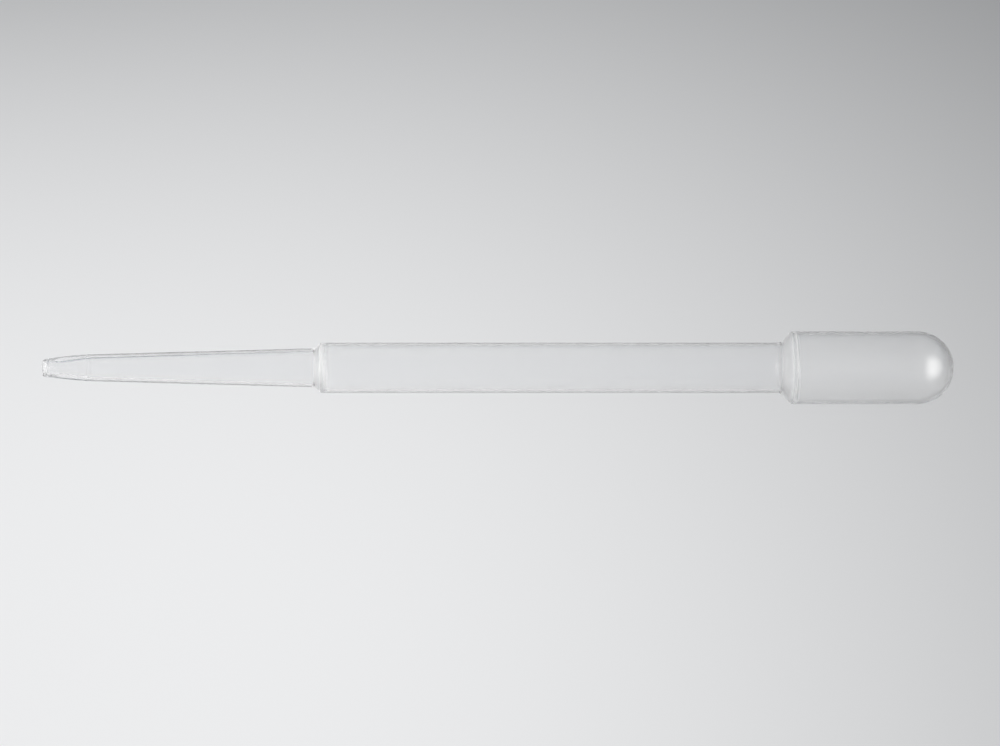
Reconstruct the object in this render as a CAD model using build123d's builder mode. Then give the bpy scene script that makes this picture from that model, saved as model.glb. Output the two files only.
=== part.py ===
from build123d import *
import os
from math import acos, atan2, cos, degrees, hypot, sin, sqrt

os.makedirs("parts", exist_ok=True)

# A disposable transfer pipette with a squeeze bulb, blow moulded in one piece
# from translucent low-density polyethylene. It lies along X, its cut tip
# towards -X and its bulb towards +X. Millimetres; +Z is up. The origin is on
# the surface it lies on, under the middle of its length.
#
# The moulding is built as the zones that it works as: tip, nozzle, taper,
# shoulder, barrel, collar and bulb. The bulb's two opposite side walls are
# separate, because they are what a thumb and a finger press in.

# driving dimensions: radii to the outside
overall_length = 155.0
bulb_radius = 6.2
barrel_radius = 4.25
taper_radius = 3.3  # at the front shoulder
nozzle_radius = 2.28  # where the end cone meets the long taper
nozzle_middle_radius = 1.96  # half way along the end cone, which is slightly full
tip_radius = 1.5

# wall thicknesses, thickest where the least air has stretched them
bulb_wall = 0.4
barrel_wall = 0.45
taper_wall = 0.5
nozzle_wall = 0.7
orifice_radius = 0.9
orifice_length = 3.0

# stations along the axis, from the cut end
rim_length = 0.8
nozzle_end = 7.7
taper_end = 46.0
barrel_start = 47.5
barrel_end = 125.2
bulb_start = 128.4

shoulder_fillet = 0.6
collar_fillet = 1.4

# notches that the cutter left in the tip's rim: angle round the axis, depth
rim_notches = [(20, 0.45), (110, 0.3), (165, 0.5), (250, 0.25), (310, 0.4)]
notch_width = 0.4

# the two pressed walls of the bulb
press_travel = 4.0
meeting_gap = 0.2  # left between the two walls when both are fully in
running_gap = 0.15  # round each pressed wall

# everything below follows from the values above
axis_height = bulb_radius
dome_start = overall_length - bulb_radius
bulb_inner = bulb_radius - bulb_wall
barrel_inner = barrel_radius - barrel_wall
taper_inner = taper_radius - taper_wall
nozzle_inner = nozzle_radius - nozzle_wall
press_half_height = sqrt(bulb_inner**2 - (press_travel + meeting_gap / 2) ** 2)

tip_end = (-overall_length / 2, 0, axis_height)
tube_axis = Axis(tip_end, (1, 0, 0))

# in this plane, x is the distance from the cut end and y the distance from the axis
side_plane = Plane(origin=tip_end, x_dir=(1, 0, 0), z_dir=(0, -1, 0))


def cross_plane(station):
    """The plane across the tube at a station, its x along +Y and its y along +Z."""
    return Plane(
        origin=(station - overall_length / 2, 0, axis_height),
        x_dir=(0, 1, 0),
        z_dir=(1, 0, 0),
    )


def step_line(start, end, radius):
    """An S-shaped line from one radius of the tube up to the next, in the side plane.

    It leaves and arrives along the axis, through an arc of the same radius at each
    end, and is straight in between.
    """
    run = end[0] - start[0]
    rise = end[1] - start[1]
    slope = atan2(run, 2 * radius - rise) - acos(2 * radius / hypot(run, 2 * radius - rise))
    arc_run = radius * sin(slope)
    arc_rise = radius * (1 - cos(slope))
    JernArc(start, (1, 0), radius, degrees(slope))
    Line((start[0] + arc_run, start[1] + arc_rise), (end[0] - arc_run, end[1] - arc_rise))
    JernArc(end, (-1, 0), radius, degrees(slope))


# ---- the tip's rim: a short ring, left uneven where it was cut from its flash
with BuildPart() as cut_rim:
    with BuildSketch(cross_plane(0)):
        Circle(tip_radius)
        Circle(orifice_radius, mode=Mode.SUBTRACT)
    extrude(amount=rim_length)
    for angle, depth in rim_notches:
        with BuildSketch(cross_plane(0)):
            with Locations(Rot(0, 0, angle)):
                with Locations((tip_radius, 0)):
                    Rectangle(2 * (tip_radius - orifice_radius) + notch_width, notch_width)
        extrude(amount=depth, mode=Mode.SUBTRACT)
cut_rim.part.label = "cut_rim"
export_step(cut_rim.part, "parts/cut_rim.step")


# ---- the nozzle: the end cone, with the straight orifice inside its front half
with BuildPart() as tip_nozzle:
    with BuildSketch(side_plane):
        with BuildLine():
            ThreePointArc(
                (rim_length, tip_radius),
                ((rim_length + nozzle_end) / 2, nozzle_middle_radius),
                (nozzle_end, nozzle_radius),
            )
            Polyline(
                (nozzle_end, nozzle_radius),
                (nozzle_end, nozzle_inner),
                (orifice_length, orifice_radius),
                (rim_length, orifice_radius),
                (rim_length, tip_radius),
            )
        make_face()
    revolve(axis=tube_axis)
tip_nozzle.part.label = "tip_nozzle"
export_step(tip_nozzle.part, "parts/tip_nozzle.step")


# ---- the long taper from the nozzle to the front shoulder
with BuildPart() as tip_taper:
    with BuildSketch(side_plane):
        with BuildLine():
            Polyline(
                (nozzle_end, nozzle_radius),
                (taper_end, taper_radius),
                (taper_end, taper_inner),
                (nozzle_end, nozzle_inner),
                close=True,
            )
        make_face()
    revolve(axis=tube_axis)
tip_taper.part.label = "tip_taper"
export_step(tip_taper.part, "parts/tip_taper.step")


# ---- the front shoulder: the rounded step from the taper up to the barrel
with BuildPart() as front_shoulder:
    with BuildSketch(side_plane):
        with BuildLine():
            step_line((taper_end, taper_radius), (barrel_start, barrel_radius), shoulder_fillet)
            Line((barrel_start, barrel_radius), (barrel_start, barrel_inner))
            step_line((taper_end, taper_inner), (barrel_start, barrel_inner), shoulder_fillet)
            Line((taper_end, taper_inner), (taper_end, taper_radius))
        make_face()
    revolve(axis=tube_axis)
front_shoulder.part.label = "front_shoulder"
export_step(front_shoulder.part, "parts/front_shoulder.step")


# ---- the barrel: the straight tube that holds the liquid
with BuildPart() as barrel:
    with BuildSketch(cross_plane(barrel_start)):
        Circle(barrel_radius)
        Circle(barrel_inner, mode=Mode.SUBTRACT)
    extrude(amount=barrel_end - barrel_start)
barrel.part.label = "barrel"
export_step(barrel.part, "parts/barrel.step")


# ---- the collar: the flare from the barrel out to the bulb
with BuildPart() as bulb_collar:
    with BuildSketch(side_plane):
        with BuildLine():
            step_line((barrel_end, barrel_radius), (bulb_start, bulb_radius), collar_fillet)
            Line((bulb_start, bulb_radius), (bulb_start, bulb_inner))
            step_line((barrel_end, barrel_inner), (bulb_start, bulb_inner), collar_fillet)
            Line((barrel_end, barrel_inner), (barrel_end, barrel_radius))
        make_face()
    revolve(axis=tube_axis)
bulb_collar.part.label = "bulb_collar"
export_step(bulb_collar.part, "parts/bulb_collar.step")


# ---- the bulb's upper and lower walls, which stay still and carry its dome
with BuildPart() as bulb_upper_wall:
    with BuildSketch(cross_plane(bulb_start)):
        Circle(bulb_radius)
        Circle(bulb_inner, mode=Mode.SUBTRACT)
        with Locations((0, press_half_height + running_gap)):
            Rectangle(
                2 * bulb_radius,
                bulb_radius,
                align=(Align.CENTER, Align.MIN),
                mode=Mode.INTERSECT,
            )
    extrude(amount=dome_start - bulb_start)
bulb_upper_wall.part.label = "bulb_upper_wall"
export_step(bulb_upper_wall.part, "parts/bulb_upper_wall.step")

with BuildPart() as bulb_lower_wall:
    add(bulb_upper_wall.part)
    mirror(about=Plane.XY.offset(axis_height), mode=Mode.REPLACE)
bulb_lower_wall.part.label = "bulb_lower_wall"
export_step(bulb_lower_wall.part, "parts/bulb_lower_wall.step")


# ---- the bulb's two pressed walls: the thumb's at the front, the finger's behind.
# Their edges are flat and level, so that they slide straight in past the still walls
with BuildPart() as thumb_wall:
    with BuildSketch(cross_plane(bulb_start + running_gap)):
        Circle(bulb_radius)
        Circle(bulb_inner, mode=Mode.SUBTRACT)
        Rectangle(
            bulb_radius,
            2 * press_half_height,
            align=(Align.MAX, Align.CENTER),
            mode=Mode.INTERSECT,
        )
    extrude(amount=dome_start - bulb_start - 2 * running_gap)
thumb_wall.part.label = "thumb_wall"
export_step(thumb_wall.part, "parts/thumb_wall.step")

with BuildPart() as finger_wall:
    add(thumb_wall.part)
    mirror(about=Plane.XZ, mode=Mode.REPLACE)
finger_wall.part.label = "finger_wall"
export_step(finger_wall.part, "parts/finger_wall.step")


# ---- the bulb's closed end: a hemisphere
with BuildPart() as bulb_dome:
    with BuildSketch(side_plane):
        with BuildLine():
            CenterArc((dome_start, 0), bulb_radius, 0, 90)
            Line((dome_start, bulb_radius), (dome_start, bulb_inner))
            CenterArc((dome_start, 0), bulb_inner, 0, 90)
            Line((overall_length - bulb_wall, 0), (overall_length, 0))
        make_face()
    revolve(axis=tube_axis)
bulb_dome.part.label = "bulb_dome"
export_step(bulb_dome.part, "parts/bulb_dome.step")
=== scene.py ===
"""Looks for the disposable transfer pipette: a thin translucent moulding lying on a pale surface.

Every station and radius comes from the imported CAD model. Its zones are redrawn as one continuous
skin with an outside and an inside surface, and that skin is cut into pieces only where the squeezed
walls of the bulb have to move. The cuts have no caps, so light passes them as if they weren't there.
"""

import math

import bpy
import numpy as np
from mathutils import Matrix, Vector


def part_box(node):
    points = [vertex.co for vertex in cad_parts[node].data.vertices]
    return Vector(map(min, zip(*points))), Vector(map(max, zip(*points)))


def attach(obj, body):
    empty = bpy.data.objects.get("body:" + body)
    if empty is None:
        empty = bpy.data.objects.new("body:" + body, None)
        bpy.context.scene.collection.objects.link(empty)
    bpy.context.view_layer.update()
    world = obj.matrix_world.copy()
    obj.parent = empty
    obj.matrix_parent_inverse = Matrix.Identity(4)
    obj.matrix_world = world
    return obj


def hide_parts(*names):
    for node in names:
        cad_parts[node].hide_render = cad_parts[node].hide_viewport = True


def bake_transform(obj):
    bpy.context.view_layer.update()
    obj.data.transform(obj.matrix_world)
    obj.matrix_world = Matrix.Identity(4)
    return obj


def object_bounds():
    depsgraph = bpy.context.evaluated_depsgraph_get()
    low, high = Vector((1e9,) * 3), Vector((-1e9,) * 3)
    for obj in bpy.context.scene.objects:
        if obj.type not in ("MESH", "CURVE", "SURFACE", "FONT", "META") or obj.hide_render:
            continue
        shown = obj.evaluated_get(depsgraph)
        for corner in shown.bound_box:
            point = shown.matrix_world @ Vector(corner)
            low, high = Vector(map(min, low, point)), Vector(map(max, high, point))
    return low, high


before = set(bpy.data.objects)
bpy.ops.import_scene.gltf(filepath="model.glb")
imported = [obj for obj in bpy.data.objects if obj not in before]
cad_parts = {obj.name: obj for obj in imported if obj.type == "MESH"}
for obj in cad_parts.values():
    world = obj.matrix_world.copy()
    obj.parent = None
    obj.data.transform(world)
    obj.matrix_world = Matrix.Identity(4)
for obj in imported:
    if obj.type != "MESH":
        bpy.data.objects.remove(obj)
cad_low, cad_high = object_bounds()

MM = 0.001

# ---- driving sizes that the frame doesn't give, in metres, as in the CAD model
WALL_AT_TIP = 0.6 * MM
WALL_AT_NOZZLE = 0.7 * MM
WALL_AT_TAPER = 0.5 * MM
WALL_AT_BARREL = 0.45 * MM
WALL_AT_BULB = 0.4 * MM
ORIFICE_LENGTH = 3.0 * MM
NOZZLE_FULLNESS = 0.07 * MM  # how far the end cone stands out from a straight one
SHOULDER_FILLETS = (0.6 * MM, 0.6 * MM)  # where the step starts and where it ends
COLLAR_FILLETS = (1.6 * MM, 1.1 * MM)
FLARE_AHEAD = (0.3 * MM, 0.6 * MM)  # how much sooner than the collar's node the flare begins and ends

# ---- fine marks of moulding that the CAD model leaves out
CREASE_HEIGHT = 0.03 * MM  # the groove and the ridge round the bulb where the collar ends
CREASE_WIDTH = 0.13 * MM
CREASE_PLACE = -0.42 * MM  # of the ridge, from where the collar's node ends
CREASE_SPACING = 0.32 * MM  # from the groove to the ridge
BORE_RING = 0.05 * MM  # the ring inside, where the end cone meets the taper
BORE_RING_WIDTH = 0.3 * MM

SEGMENTS = 160  # round the axis; a multiple of 4, so that points lie on the parting plane


def zone(node):
    """Where a node begins and ends along X, and half its height."""
    low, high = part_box(node)
    return low[0], high[0], (high[2] - low[2]) / 2


tip_x, rim_end, tip_radius = zone("cut_rim")
nozzle_end, nozzle_radius = zone("tip_nozzle")[1:]
taper_end, taper_radius = zone("tip_taper")[1:]
barrel_start, barrel_end, barrel_radius = zone("barrel")
bulb_start, bulb_radius = zone("bulb_collar")[1:]
dome_start, dome_end = zone("bulb_dome")[:2]
axis_z = (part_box("barrel")[0][2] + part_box("barrel")[1][2]) / 2
bulb_middle = (bulb_start + dome_start) / 2
flare_start, flare_end = barrel_end - FLARE_AHEAD[0], bulb_start - FLARE_AHEAD[1]


# ---- the outline, outside and inside


def s_step(x, start, end, fillets):
    """Radius along an S-shaped step: an arc, a straight slope and an arc."""
    first, last = fillets
    run, rise = end[0] - start[0], end[1] - start[1]
    lift = rise - first - last
    slope = math.atan2(lift, run) + math.asin((first + last) / math.hypot(run, lift))
    leave, meet = start[0] + first * math.sin(slope), end[0] - last * math.sin(slope)
    hollow = start[1] + first - np.sqrt(np.maximum(first**2 - (x - start[0]) ** 2, 0))
    brow = end[1] - last + np.sqrt(np.maximum(last**2 - (end[0] - x) ** 2, 0))
    ramp = start[1] + first * (1 - math.cos(slope)) + (x - leave) * math.tan(slope)
    return np.select([x < leave, x > meet], [hollow, brow], ramp)


def bell(x, centre, width):
    """A smooth bump, 1 at its centre and about 0 beyond twice its width."""
    return np.exp(-(((x - centre) / width) ** 2))


def crease(x):
    """The groove and ridge where the collar meets the bulb."""
    ridge = bulb_start + CREASE_PLACE
    return CREASE_HEIGHT * (bell(x, ridge, CREASE_WIDTH) - bell(x, ridge - CREASE_SPACING, CREASE_WIDTH))


def outer_radius(x):
    """The outside radius from the cut tip to where the dome begins."""
    cone = np.interp(x, [tip_x, nozzle_end], [tip_radius, nozzle_radius])
    share = np.clip((x - tip_x) / (nozzle_end - tip_x), 0, 1)
    cone = cone + 4 * NOZZLE_FULLNESS * share * (1 - share)
    taper = np.interp(x, [nozzle_end, taper_end], [nozzle_radius, taper_radius])
    shoulder = s_step(x, (taper_end, taper_radius), (barrel_start, barrel_radius), SHOULDER_FILLETS)
    collar = s_step(x, (flare_start, barrel_radius), (flare_end, bulb_radius), COLLAR_FILLETS)
    radius = np.select(
        [x < nozzle_end, x < taper_end, x < barrel_start, x < flare_start, x < flare_end],
        [cone, taper, shoulder, barrel_radius, collar],
        bulb_radius,
    )
    return radius + crease(x)


def inner_radius(x):
    """The inside radius from the cut tip to where the dome begins."""
    orifice = tip_radius - WALL_AT_TIP
    nozzle = nozzle_radius - WALL_AT_NOZZLE
    taper = taper_radius - WALL_AT_TAPER
    barrel = barrel_radius - WALL_AT_BARREL
    bulb = bulb_radius - WALL_AT_BULB
    straight_end = tip_x + ORIFICE_LENGTH
    cone = np.interp(x, [straight_end, nozzle_end, taper_end], [orifice, nozzle, taper])
    shoulder = s_step(x, (taper_end, taper), (barrel_start, barrel), SHOULDER_FILLETS)
    collar = s_step(x, (flare_start, barrel), (flare_end, bulb), COLLAR_FILLETS)
    ring = BORE_RING * bell(x, nozzle_end, BORE_RING_WIDTH)
    radius = np.select(
        [x < taper_end, x < barrel_start, x < flare_start, x < flare_end],
        [cone, shoulder, barrel, collar],
        bulb,
    )
    return radius - ring + crease(x)


def stations():
    """The places along X where the skin has a ring of points, closest where it curves."""
    spans = [  # start, end and the distance between rings
        (tip_x, rim_end, 0.1 * MM),
        (rim_end, tip_x + 3 * MM, 0.1 * MM),
        (tip_x + 3 * MM, nozzle_end - MM, 0.4 * MM),
        (nozzle_end - MM, nozzle_end + MM, 0.1 * MM),
        (nozzle_end + MM, taper_end, 0.8 * MM),
        (taper_end, barrel_start, 0.075 * MM),
        (barrel_start, flare_start - 0.5 * MM, 1.0 * MM),
        (flare_start - 0.5 * MM, flare_end - 0.8 * MM, 0.1 * MM),
        (flare_end - 0.8 * MM, bulb_start, 0.04 * MM),
        (bulb_start, bulb_start + 0.4 * MM, 0.04 * MM),
        (bulb_start + 0.4 * MM, bulb_middle, 0.4 * MM),
        (bulb_middle, dome_start, 0.4 * MM),
    ]
    rows = [np.linspace(a, b, max(2, round((b - a) / step) + 1))[:-1] for a, b, step in spans]
    return np.concatenate(rows)


DOME_RINGS = 36


def unevenness(x, angle, seed, most_turns=3, shortest=33 * MM, waves=7):
    """Smooth variation over the tube, between about -1 and 1: a sum of waves round it and along it."""
    rng = np.random.default_rng(seed)
    total = np.zeros(np.broadcast(x, angle).shape)
    for _ in range(waves):
        turns = rng.integers(0, most_turns + 1)
        per_metre = rng.uniform(0.1, 1) * 2 * math.pi / shortest
        phase, twist = rng.uniform(0, 2 * math.pi, 2)
        total += np.cos(turns * angle + twist) * np.cos(per_metre * x + phase)
    return total / math.sqrt(waves)


# notches that the cutter left round the tip's end: angle in degrees, depth in mm, width in degrees
TIP_CUTS = [
    (38, 0.6, 26),
    (92, 0.2, 10),
    (160, 0.25, 14),
    (222, 0.35, 22),
    (262, 0.15, 9),
    (300, 0.3, 14),
]
TIP_FADE = 1.6 * MM  # how far along the tube the cutter's crush is felt
CRUSH_OUTSIDE, CRUSH_INSIDE = 0.04 * MM, 0.1 * MM
CRUSH_OUT_OF_ROUND = 0.12  # how far the cutter leaves the orifice out of round, as a share
WAVES_OUTSIDE, WAVES_INSIDE = 0.004 * MM, 0.006 * MM  # how uneven blow moulding leaves the wall


def skin():
    """The outside and inside surfaces as grids of points, one row for each station."""
    x = stations()
    turn = np.linspace(0, math.pi / 2, DOME_RINGS + 1)
    dome_length = dome_end - dome_start
    grids = []
    angle = np.arange(SEGMENTS) * 2 * math.pi / SEGMENTS
    degrees = np.degrees(angle)
    cut = np.zeros(SEGMENTS)
    for where, depth, width in TIP_CUTS:
        away = (degrees - where + 180) % 360 - 180
        cut += depth * MM * bell(away, 0, width)
    for surface, wall, radius in (("outer", 0.0, outer_radius), ("inner", WALL_AT_BULB, inner_radius)):
        along = np.concatenate([x, dome_start + (dome_length - wall) * np.sin(turn)])
        across = np.concatenate([radius(x), (bulb_radius - wall) * np.cos(turn)])
        along = np.repeat(along[:, None], SEGMENTS, axis=1)
        across = np.repeat(across[:, None], SEGMENTS, axis=1)
        fade = np.exp(-(along - tip_x) / TIP_FADE)
        crush = fade * unevenness(along, angle, 8, most_turns=9, shortest=0.7 * MM, waves=30)
        if surface == "outer":
            waves = WAVES_OUTSIDE * unevenness(along, angle, 3) * (across > 0)
            across += waves + CRUSH_OUTSIDE * crush
        else:
            settled = np.clip(across / (2 * MM), 0, 1)  # so that the dome closes at its pole
            waves = WAVES_INSIDE * unevenness(along, angle, 5) * settled
            across += waves + CRUSH_INSIDE * crush
            lobes = np.sin(3 * angle + 0.6) + 0.6 * np.sin(5 * angle)
            across *= 1 - CRUSH_OUT_OF_ROUND * fade * lobes
        along = along + cut * fade
        grids.append(np.stack([along, across * np.cos(angle), axis_z + across * np.sin(angle)], axis=2))
    return grids


MARKS = ("highlight_milk", "edge_glow_milk", "edge_reach", "frost")
# the dome's edges get a painted glow that fades its outline
DOME_MARKS = (0.03, 0.4, WALL_AT_BULB / bulb_radius, 0.03)
# painted highlights: milky white on the slopes of the shoulder and the collar, which the key light makes
# bright
HIGHLIGHT_ON_SHOULDER, HIGHLIGHT_ON_COLLAR = 0.015, 0.05  # on their slopes
# painted highlights: milky white rings at the shoulder's brow, the crease and the other steps, where
# gloss would shine
HIGHLIGHT_RINGS = [  # place along X, width and amount of milk
    (barrel_start + 0.1 * MM, 0.3 * MM, 0.45),
    (taper_end + 0.55 * MM, 0.14 * MM, 0.14),
    (barrel_end + 0.9 * MM, 0.2 * MM, 0.06),
    (flare_end - 0.6 * MM, 0.25 * MM, 0.05),
    (bulb_start + CREASE_PLACE, 0.11 * MM, 0.55),
    (nozzle_end, 0.3 * MM, 0.04),
]


def marks():
    """Four numbers for each ring, which the material reads: how milky the wall is head on and at
    its edges, which paints highlights on the steps and a glow on their edges, how far the painted
    shade of its edges reaches, and how much rougher it is than elsewhere. The steps are milky and
    rough, as painted highlights, most of all at the shoulder's brow and at the crease. The dome gets its
    painted glow and haze little by little from where it begins."""
    x = stations()
    outer, inner = outer_radius(x), inner_radius(x)
    slope = np.clip((np.abs(np.gradient(outer, x)) - 0.12) / 0.4, 0, 1)
    slope *= (x > taper_end - MM) & (x < bulb_start + MM)
    highlight_milk = np.where(x < flare_start, HIGHLIGHT_ON_SHOULDER, HIGHLIGHT_ON_COLLAR) * slope
    for place, width, amount in HIGHLIGHT_RINGS:
        highlight_milk += amount * bell(x, place, width)
    # painted glow on the edges of the steps, and painted light over the dark spots at the shoulder's
    # hollow
    edge_glow_milk = np.maximum(0.5 * slope, 0.9 * bell(x, taper_end + 0.15 * MM, 0.45 * MM))
    # the edges' painted shade reaches further near the cut tip
    reach = np.minimum((outer - inner) / outer, 0.24) + 0.2 * bell(x, tip_x + 1.7 * MM, 0.9 * MM)
    frost = 0.17 * slope + 0.03 * np.clip((x - bulb_middle) / (dome_start - bulb_middle), 0, 1) ** 2
    along = np.stack([highlight_milk, edge_glow_milk, reach, frost], axis=1)
    end = np.tile(DOME_MARKS, (DOME_RINGS + 1, 1))
    end[:, :2] *= np.linspace(0, 1, DOME_RINGS + 1)[:, None]
    outer_marks = np.concatenate([along, end])
    inner_marks = outer_marks.copy()
    inner_marks[:, 2] = -1
    return outer_marks, inner_marks


outside, inside = skin()
outside_marks, inside_marks = marks()


def grid_normals(points, outward):
    """Smooth normals of a grid of rings, away from the axis or towards it."""
    along = np.gradient(points, axis=0)
    around = np.roll(points, -1, axis=1) - np.roll(points, 1, axis=1)
    normals = np.cross(around, along)
    length = np.linalg.norm(normals, axis=2, keepdims=True)
    normals = normals / np.maximum(length, 1e-18)
    normals[-1] = (1, 0, 0)
    return normals if outward else -normals


outside_normals = grid_normals(outside, True)
inside_normals = grid_normals(inside, False)


# ---- pieces cut from the skin


class Shell:
    """Collects faces with their normals and marks, and makes one mesh object of them."""

    def __init__(self):
        self.points, self.normals, self.marks, self.faces = [], [], [], []

    def patch(self, points, normals, marks, flip):
        """Adds a grid of points as quads; flip turns its faces over."""
        rows, columns = points.shape[:2]
        first = sum(len(p) for p in self.points)
        self.points.append(points.reshape(-1, 3))
        self.normals.append(normals.reshape(-1, 3))
        self.marks.append(np.repeat(marks, columns, axis=0))
        for i in range(rows - 1):
            for j in range(columns - 1):
                a = first + i * columns + j
                quad = (a, a + 1, a + columns + 1, a + columns)
                self.faces.append(quad[::-1] if flip else quad)

    def make(self, name):
        points = np.concatenate(self.points)
        normals = np.concatenate(self.normals)
        marks = np.concatenate(self.marks)
        # points that coincide in the same surface become one, as at the seam of a ring and at the pole
        key = np.round(np.hstack([points / (1e-4 * MM), normals * 1e3])).astype(np.int64)
        _, keep, index = np.unique(key, axis=0, return_index=True, return_inverse=True)
        index = index.ravel()
        faces = []
        for face in self.faces:
            corners = list(dict.fromkeys(int(index[c]) for c in face))
            if len(corners) > 2:
                faces.append(corners)
        mesh = bpy.data.meshes.new(name)
        mesh.from_pydata(points[keep].tolist(), [], faces)
        mesh.shade_smooth()
        mesh.normals_split_custom_set_from_vertices(normals[keep].tolist())
        for column, mark in enumerate(MARKS):
            layer = mesh.attributes.new(mark, "FLOAT", "POINT")
            layer.data.foreach_set("value", marks[keep, column])
        piece = bpy.data.objects.new(name, mesh)
        bpy.context.scene.collection.objects.link(piece)
        return piece


def closed(grid):
    """The grid with its first column repeated at the end, to go all the way round."""
    return np.concatenate([grid, grid[:, :1]], axis=1)


def cut_shell(start, end, angles=None):
    """A piece of the skin between two stations, all round or between two angles in degrees."""
    rows = slice(station_index(start), station_index(end) + 1)
    shell = Shell()
    for points, normals, marks, flip in (
        (outside, outside_normals, outside_marks, False),
        (inside, inside_normals, inside_marks, True),
    ):
        points, normals = closed(points[rows]), closed(normals[rows])
        if angles:
            first, last = (round(a / 360 * SEGMENTS) for a in angles)
            columns = [j % SEGMENTS for j in range(first, last + 1)]
            points, normals = points[:, columns], normals[:, columns]
        shell.patch(points, normals, marks[rows], flip)
    return shell


ring_x = np.concatenate([stations(), [dome_start]])


def station_index(x):
    """The ring nearest to a place along X; the last one for anything past the dome's start."""
    if x > dome_start + 0.1 * MM:
        return len(outside) - 1
    return int(np.argmin(np.abs(ring_x - x)))


def cut_end_piece():
    """The rim that the cutter left, with the cut face."""
    shell = cut_shell(tip_x, rim_end)
    face = np.stack([closed(inside)[0], closed(outside)[0]])
    normals = np.broadcast_to(np.array([-1.0, 0, 0]), face.shape)
    shell.patch(face, normals, outside_marks[:2], False)
    piece = shell.make("cut_end")
    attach(piece, "moulding")
    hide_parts("cut_rim")
    return piece


def tube_piece():
    """Nozzle, taper, shoulder, barrel and collar."""
    piece = cut_shell(rim_end, bulb_start).make("tube")
    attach(piece, "moulding")
    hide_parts("tip_nozzle", "tip_taper", "front_shoulder", "barrel", "bulb_collar")
    return piece


def bulb_quarter(name, side, from_x, to_x):
    """A quarter of the bulb's wall, on one side of the parting plane, between two stations; it
    follows the moulding at rest."""
    angles = (90, 270) if side < 0 else (-90, 90)
    piece = cut_shell(min(from_x, to_x), max(from_x, to_x), angles).make(name)
    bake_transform(piece)
    return piece


def dome_piece():
    piece = cut_shell(dome_start, dome_end).make("dome")
    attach(piece, "moulding")
    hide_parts("bulb_dome")
    return piece


cut_end = cut_end_piece()
tube = tube_piece()
thumb_front = bulb_quarter("bulb_thumb_near_collar", -1, bulb_start, bulb_middle)
thumb_back = bulb_quarter("bulb_thumb_near_dome", -1, dome_start, bulb_middle)
finger_front = bulb_quarter("bulb_finger_near_collar", 1, bulb_start, bulb_middle)
finger_back = bulb_quarter("bulb_finger_near_dome", 1, dome_start, bulb_middle)
dome = dome_piece()
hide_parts("thumb_wall", "bulb_lower_wall")
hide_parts("finger_wall", "bulb_upper_wall")


# ---- materials


def node(tree, kind, **settings):
    """A new shader node with its properties and unlinked sockets set."""
    made = tree.nodes.new(kind)
    for key, value in settings.items():
        if key in made.inputs.keys():
            made.inputs[key].default_value = value
        else:
            setattr(made, key.lower(), value)
    return made


def math_node(tree, operation, first, second):
    """The result of an operation on two numbers or sockets."""
    made = node(tree, "ShaderNodeMath", Operation=operation)
    for socket, value in zip(made.inputs, (first, second)):
        if isinstance(value, bpy.types.NodeSocket):
            tree.links.new(value, socket)
        else:
            socket.default_value = value
    return made.outputs[0]


PLASTIC_IOR = 1.42
# where the painted shade of the edges begins and ends, as the wall turns edge on
EDGE_FROM, EDGE_TO, EDGE_REACH = 0.8, 1.02, 1.4
EDGE_ROUGHNESS = 0.2
CLOUDINESS = 0.08  # how much the gloss varies from place to place, as a share
# a painted glow: the edge's colour on the steps, brighter than white
EDGE_GLOW_WHITE = 1.5  # the edge's colour where it is wholly milky


def edge_share(tree):
    """0 where the wall is seen head on, 1 at its edges, where the edges get their painted shade, and on
    the steps their painted glow.
    A thick wall has wider edges, and the inside surface has none of its own."""
    link = tree.links.new
    facing = node(tree, "ShaderNodeLayerWeight", Blend=0.5)
    wall = node(tree, "ShaderNodeAttribute", Attribute_Name="edge_reach")
    reach = node(tree, "ShaderNodeMath", Operation="MULTIPLY_ADD")
    reach.inputs[1].default_value = EDGE_REACH
    link(wall.outputs["Fac"], reach.inputs[0])
    link(facing.outputs["Facing"], reach.inputs[2])
    edge = node(tree, "ShaderNodeMapRange", Interpolation_Type="SMOOTHSTEP")
    edge.inputs["From Min"].default_value = EDGE_FROM
    edge.inputs["From Max"].default_value = EDGE_TO
    link(reach.outputs[0], edge.inputs["Value"])
    return edge.outputs["Result"]


def spread_over(tree, source, low, high):
    """A number that goes from low to high as source goes from 0 to 1."""
    made = node(tree, "ShaderNodeMapRange")
    made.inputs["To Min"].default_value = low
    made.inputs["To Max"].default_value = high
    tree.links.new(source, made.inputs["Value"])
    return made.outputs["Result"]


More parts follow.
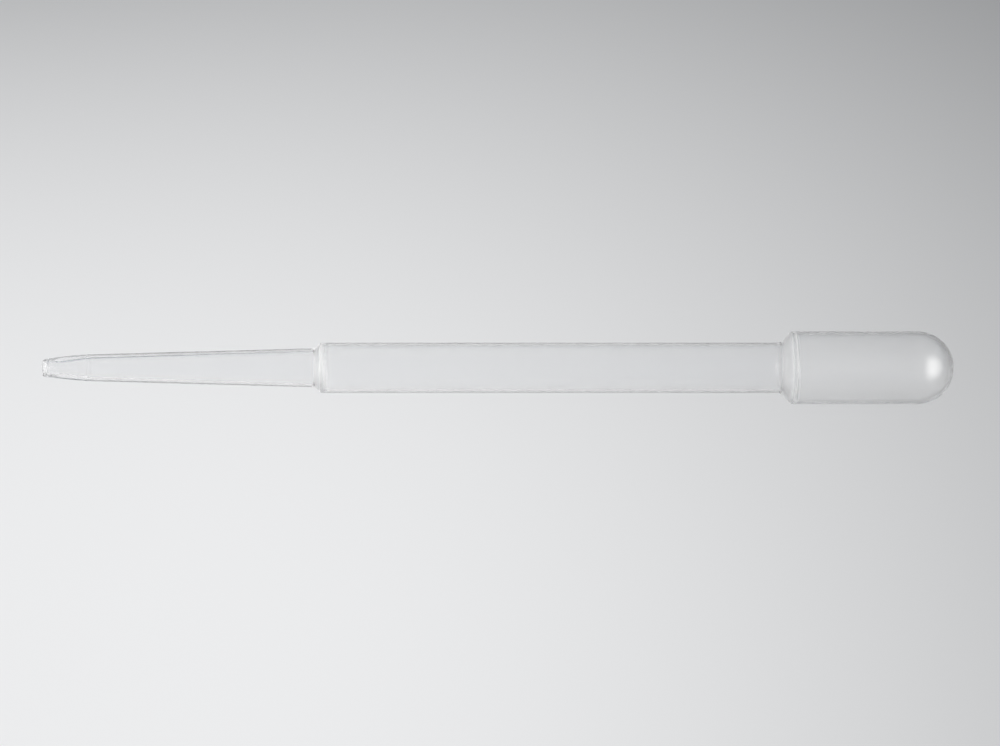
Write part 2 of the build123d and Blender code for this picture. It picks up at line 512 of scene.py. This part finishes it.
def polyethylene(name, roughness, haze, rim):
    """Natural low-density polyethylene: clear but faintly milky, with a soft uneven gloss. At its
    edges the colour is darkened to rim, a painted shade. On the steps, which face the light, the
    edges are painted milky and brighter than white instead, a painted glow."""
    material = bpy.data.materials.new(name)
    material.use_nodes = True
    tree = material.node_tree
    tree.nodes.clear()
    link = tree.links.new
    place = node(tree, "ShaderNodeTexCoord")
    cloud = node(tree, "ShaderNodeTexNoise", Scale=160.0, Detail=3.0, Roughness=0.5)
    grain = node(tree, "ShaderNodeTexNoise", Scale=1500.0, Detail=2.0, Roughness=0.6)
    link(place.outputs["Object"], cloud.inputs["Vector"])
    link(place.outputs["Object"], grain.inputs["Vector"])
    highlight_milk, edge_glow_milk, frost = (
        node(tree, "ShaderNodeAttribute", Attribute_Name=mark).outputs["Fac"]
        for mark in ("highlight_milk", "edge_glow_milk", "frost")
    )
    smooth, rough = roughness * (1 - CLOUDINESS), roughness * (1 + CLOUDINESS)
    gloss = math_node(tree, "ADD", spread_over(tree, cloud.outputs["Fac"], smooth, rough), frost)
    edge_gloss = math_node(tree, "MAXIMUM", gloss, EDGE_ROUGHNESS)
    bump = node(tree, "ShaderNodeBump", Strength=0.12, Distance=0.00002)
    link(grain.outputs["Fac"], bump.inputs["Height"])
    wall = node(tree, "ShaderNodeMixShader")
    link(edge_share(tree), wall.inputs[0])
    # the milk marks paint highlights into the head-on wall and a glow into the edges
    for tint, amount, dull, socket in ((1.0, highlight_milk, gloss, 1), (rim, edge_glow_milk, edge_gloss, 2)):
        shader = node(tree, "ShaderNodeBsdfPrincipled", IOR=PLASTIC_IOR)
        # the edge's colour runs from rim, a painted shade, to a painted glow brighter than white
        if tint < 1:
            link(spread_over(tree, edge_glow_milk, tint, EDGE_GLOW_WHITE), shader.inputs["Base Color"])
        else:
            shader.inputs["Base Color"].default_value = (0.99, 0.99, 0.99, 1)
        link(spread_over(tree, amount, 1 - haze, -haze), shader.inputs["Transmission Weight"])
        link(dull, shader.inputs["Roughness"])
        link(bump.outputs["Normal"], shader.inputs["Normal"])
        link(shader.outputs[0], wall.inputs[socket])
    path = node(tree, "ShaderNodeLightPath")
    passes = math_node(tree, "MAXIMUM", path.outputs["Is Shadow Ray"], path.outputs["Is Diffuse Ray"])
    through = node(tree, "ShaderNodeBsdfTransparent")
    through.inputs["Color"].default_value = (1, 1, 1, 1)
    mix = node(tree, "ShaderNodeMixShader")
    output = node(tree, "ShaderNodeOutputMaterial")
    link(passes, mix.inputs[0])
    link(wall.outputs[0], mix.inputs[1])
    link(through.outputs[0], mix.inputs[2])
    link(mix.outputs[0], output.inputs["Surface"])
    return material


# rim: the painted shade of each piece's edges, how dark its colour turns where the wall is seen edge on
cut_material = polyethylene("cut_polyethylene", roughness=0.35, haze=0.25, rim=0.8)
tube_material = polyethylene("tube_polyethylene", roughness=0.12, haze=0.01, rim=0.44)
bulb_material = polyethylene("bulb_polyethylene", roughness=0.18, haze=0.08, rim=0.98)
cut_end.data.materials.append(cut_material)
tube.data.materials.append(tube_material)
for part in (thumb_front, thumb_back, finger_front, finger_back, dome):
    part.data.materials.append(bulb_material)


# ---- stage: a pale surface, a soft light from the front left, and the camera


def stage_floor():
    mesh = bpy.data.meshes.new("floor")
    half = 3.0
    corners = [(-half, -half, 0), (half, -half, 0), (half, half, 0), (-half, half, 0)]
    mesh.from_pydata(corners, [], [(0, 1, 2, 3)])
    floor = bpy.data.objects.new("floor", mesh)
    bpy.context.scene.collection.objects.link(floor)
    material = bpy.data.materials.new("pale_surface")
    material.use_nodes = True
    shader = material.node_tree.nodes["Principled BSDF"]
    shader.inputs["Base Color"].default_value = (0.8, 0.805, 0.815, 1)
    shader.inputs["Roughness"].default_value = 0.45
    shader.inputs["Specular IOR Level"].default_value = 0.0
    fibres = node(material.node_tree, "ShaderNodeTexNoise", Scale=700.0, Detail=4.0, Roughness=0.6)
    relief = node(material.node_tree, "ShaderNodeBump", Strength=0.05, Distance=0.0001)
    material.node_tree.links.new(fibres.outputs["Fac"], relief.inputs["Height"])
    material.node_tree.links.new(relief.outputs["Normal"], shader.inputs["Normal"])
    mesh.materials.append(material)


KEY_PLACE, KEY_TARGET = (-0.423, -0.191, 0.236), (-0.216, -0.182, 0)  # it falls off towards the bulb
KEY_SIDE, KEY_POWER, KEY_SPREAD = 0.55, 1.24, 40
KEY_COLOUR = (1.0, 0.995, 0.985)


def key_light():
    """A square soft light at the front left, for the surface alone: the plastic doesn't mirror it."""
    data = bpy.data.lights.new("key", "AREA")
    data.shape = "RECTANGLE"
    data.size, data.size_y = KEY_SIDE, KEY_SIDE
    data.energy = KEY_POWER
    data.color = KEY_COLOUR
    data.spread = math.radians(KEY_SPREAD)
    light = bpy.data.objects.new("key", data)
    light.location = KEY_PLACE
    light.rotation_euler = (Vector(KEY_TARGET) - Vector(KEY_PLACE)).to_track_quat("-Z", "Y").to_euler()
    light.visible_glossy = False
    light.visible_transmission = False
    bpy.context.scene.collection.objects.link(light)


def soft_between(tree, value, none, full, height):
    """0 where a number is at none, rising smoothly to height where it is at full."""
    made = node(tree, "ShaderNodeMapRange", Interpolation_Type="SMOOTHSTEP")
    made.inputs["From Min"].default_value = none
    made.inputs["From Max"].default_value = full
    made.inputs["To Max"].default_value = height
    tree.links.new(value, made.inputs["Value"])
    return made.outputs["Result"]


def along_direction(tree, direction):
    """How nearly a direction of the surroundings is this one: 1 straight at it, 0 square to it."""
    place = node(tree, "ShaderNodeTexCoord")
    dot = node(tree, "ShaderNodeVectorMath", Operation="DOT_PRODUCT")
    dot.inputs[1].default_value = Vector(direction).normalized()
    tree.links.new(place.outputs["Generated"], dot.inputs[0])
    return dot.outputs["Value"]


# what the gloss mirrors: a round soft lamp beyond the dome, and a strip across the room beyond the tip
LAMP_TOWARDS = (0.66, -0.43, 0.62)
LAMP_REACH = (math.cos(math.radians(44)), math.cos(math.radians(4)))  # its rim and its full middle
LAMP_EDGE = (0.17, 0.6)  # it begins this far towards +X: the camera sees it in the dome, not the tube
LAMP_LIGHT = 6.5
STRIP_PLACE, STRIP_WIDTH, STRIP_LIGHT = 0.69, 0.16, 2.5  # place and half width as shares towards -X


def surroundings(colour, on_surfaces, in_plastic):
    """The room round the table: dim as a light, brighter as what the plastic mirrors and bends.
    The gloss also mirrors a lamp beyond the dome, and a bright strip across the room at the tip's
    end that draws the streaks on the shoulder and the collar."""
    world = bpy.data.worlds.new("studio")
    bpy.context.scene.world = world
    world.use_nodes = True
    tree = world.node_tree
    room = tree.nodes["Background"]
    room.inputs["Color"].default_value = (*colour, 1)
    path = node(tree, "ShaderNodeLightPath")
    strength = spread_over(tree, path.outputs["Is Diffuse Ray"], in_plastic, on_surfaces)
    tree.links.new(strength, room.inputs["Strength"])
    lamp = soft_between(tree, along_direction(tree, LAMP_TOWARDS), *LAMP_REACH, LAMP_LIGHT)
    beyond_dome = soft_between(tree, along_direction(tree, (1, 0, 0)), *LAMP_EDGE, 1)
    lamp = math_node(tree, "MULTIPLY", lamp, beyond_dome)
    off_strip = math_node(tree, "SUBTRACT", along_direction(tree, (-1, 0, 0)), STRIP_PLACE)
    off_strip = math_node(tree, "ABSOLUTE", off_strip, 0)
    strip = soft_between(tree, off_strip, STRIP_WIDTH, 0, STRIP_LIGHT)
    both = math_node(tree, "ADD", lamp, strip)
    mirrored = node(tree, "ShaderNodeBackground")
    mirrored.inputs["Color"].default_value = (1.0, 0.99, 0.97, 1)
    seen = math_node(tree, "MULTIPLY", both, path.outputs["Is Glossy Ray"])
    tree.links.new(seen, mirrored.inputs["Strength"])
    total = node(tree, "ShaderNodeAddShader")
    tree.links.new(room.outputs[0], total.inputs[0])
    tree.links.new(mirrored.outputs[0], total.inputs[1])
    tree.links.new(total.outputs[0], tree.nodes["World Output"].inputs["Surface"])
    world.cycles.sampling_method = "NONE"


centre = (cad_low + cad_high) / 2
stage_floor()
key_light()
surroundings(colour=(0.83, 0.90, 1.0), on_surfaces=0.08, in_plastic=0.58)


def photo_camera(elevation, lens, share_of_width, right, down):
    """A camera above the front edge, level with the tube, that fits it in a share of the picture."""
    data = bpy.data.cameras.new("camera")
    data.lens = lens
    camera = bpy.data.objects.new("camera", data)
    bpy.context.scene.collection.objects.link(camera)
    tilt = math.radians(elevation)
    back = Vector((0, -math.cos(tilt), math.sin(tilt)))
    up = Vector((0, math.sin(tilt), math.cos(tilt)))
    width = (cad_high.x - cad_low.x) / share_of_width
    aim = centre + Vector((right, 0, 0)) - up * down
    camera.location = aim + back * width * lens / data.sensor_width
    camera.rotation_euler = (-back).to_track_quat("-Z", "Y").to_euler()
    bpy.context.scene.camera = camera


photo_camera(elevation=55, lens=100, share_of_width=0.91, right=0.3 * MM, down=0.9 * MM)
bpy.context.scene.view_settings.view_transform = "Standard"
